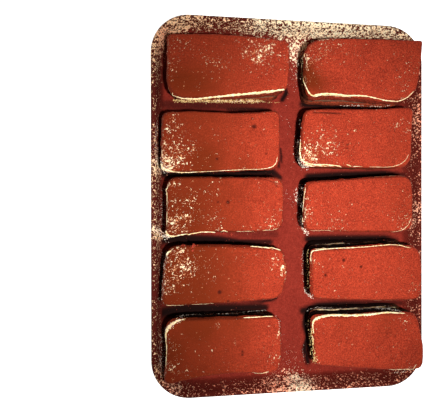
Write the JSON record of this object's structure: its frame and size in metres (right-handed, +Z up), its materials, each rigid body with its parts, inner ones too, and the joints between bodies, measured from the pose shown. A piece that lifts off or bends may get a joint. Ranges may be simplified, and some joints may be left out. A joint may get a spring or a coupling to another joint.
{
  "type": "tray of tiramisu portions",
  "caption": "Cut tiramisu portions side by side on a shallow rectangular tray, each a stack of soaked biscuit and cream under a cocoa-dusted top.",
  "frame": {"origin": "middle of the tray's underside, on the surface it stands on", "axes": "+Z up, +X across the tray's short way, along the portions' long sides, +Y along the tray's length"},
  "size_m": [0.258, 0.344, 0.0423],
  "materials": {
    "tray": "glossy, dusted with cocoa",
    "biscuit": "matt, soaked crumb",
    "cream": "soft satin",
    "cocoa": "dry powder"
  },
  "bodies": {
    "root": {"tray": "tray", "left_1_base_biscuit": "biscuit", "left_1_lower_cream": "cream", "left_1_upper_biscuit": "biscuit", "left_1_top_cream": "cocoa", "left_2_base_biscuit": "biscuit", "left_2_lower_cream": "cream", "left_2_upper_biscuit": "biscuit", "left_2_top_cream": "cocoa", "left_3_base_biscuit": "biscuit", "left_3_lower_cream": "cream", "left_3_upper_biscuit": "biscuit", "left_3_top_cream": "cocoa", "left_4_base_biscuit": "biscuit", "left_4_lower_cream": "cream", "left_4_upper_biscuit": "biscuit", "left_4_top_cream": "cocoa", "left_5_base_biscuit": "biscuit", "left_5_lower_cream": "cream", "left_5_upper_biscuit": "biscuit", "left_5_top_cream": "cocoa", "right_1_base_biscuit": "biscuit", "right_1_lower_cream": "cream", "right_1_upper_biscuit": "biscuit", "right_1_top_cream": "cocoa", "right_2_base_biscuit": "biscuit", "right_2_lower_cream": "cream", "right_2_upper_biscuit": "biscuit", "right_2_top_cream": "cocoa", "right_3_base_biscuit": "biscuit", "right_3_lower_cream": "cream", "right_3_upper_biscuit": "biscuit", "right_3_top_cream": "cocoa", "right_4_base_biscuit": "biscuit", "right_4_lower_cream": "cream", "right_4_upper_biscuit": "biscuit", "right_4_top_cream": "cocoa", "right_5_base_biscuit": "biscuit", "right_5_lower_cream": "cream", "right_5_upper_biscuit": "biscuit", "right_5_top_cream": "cocoa"}
  },
  "joints": []
}
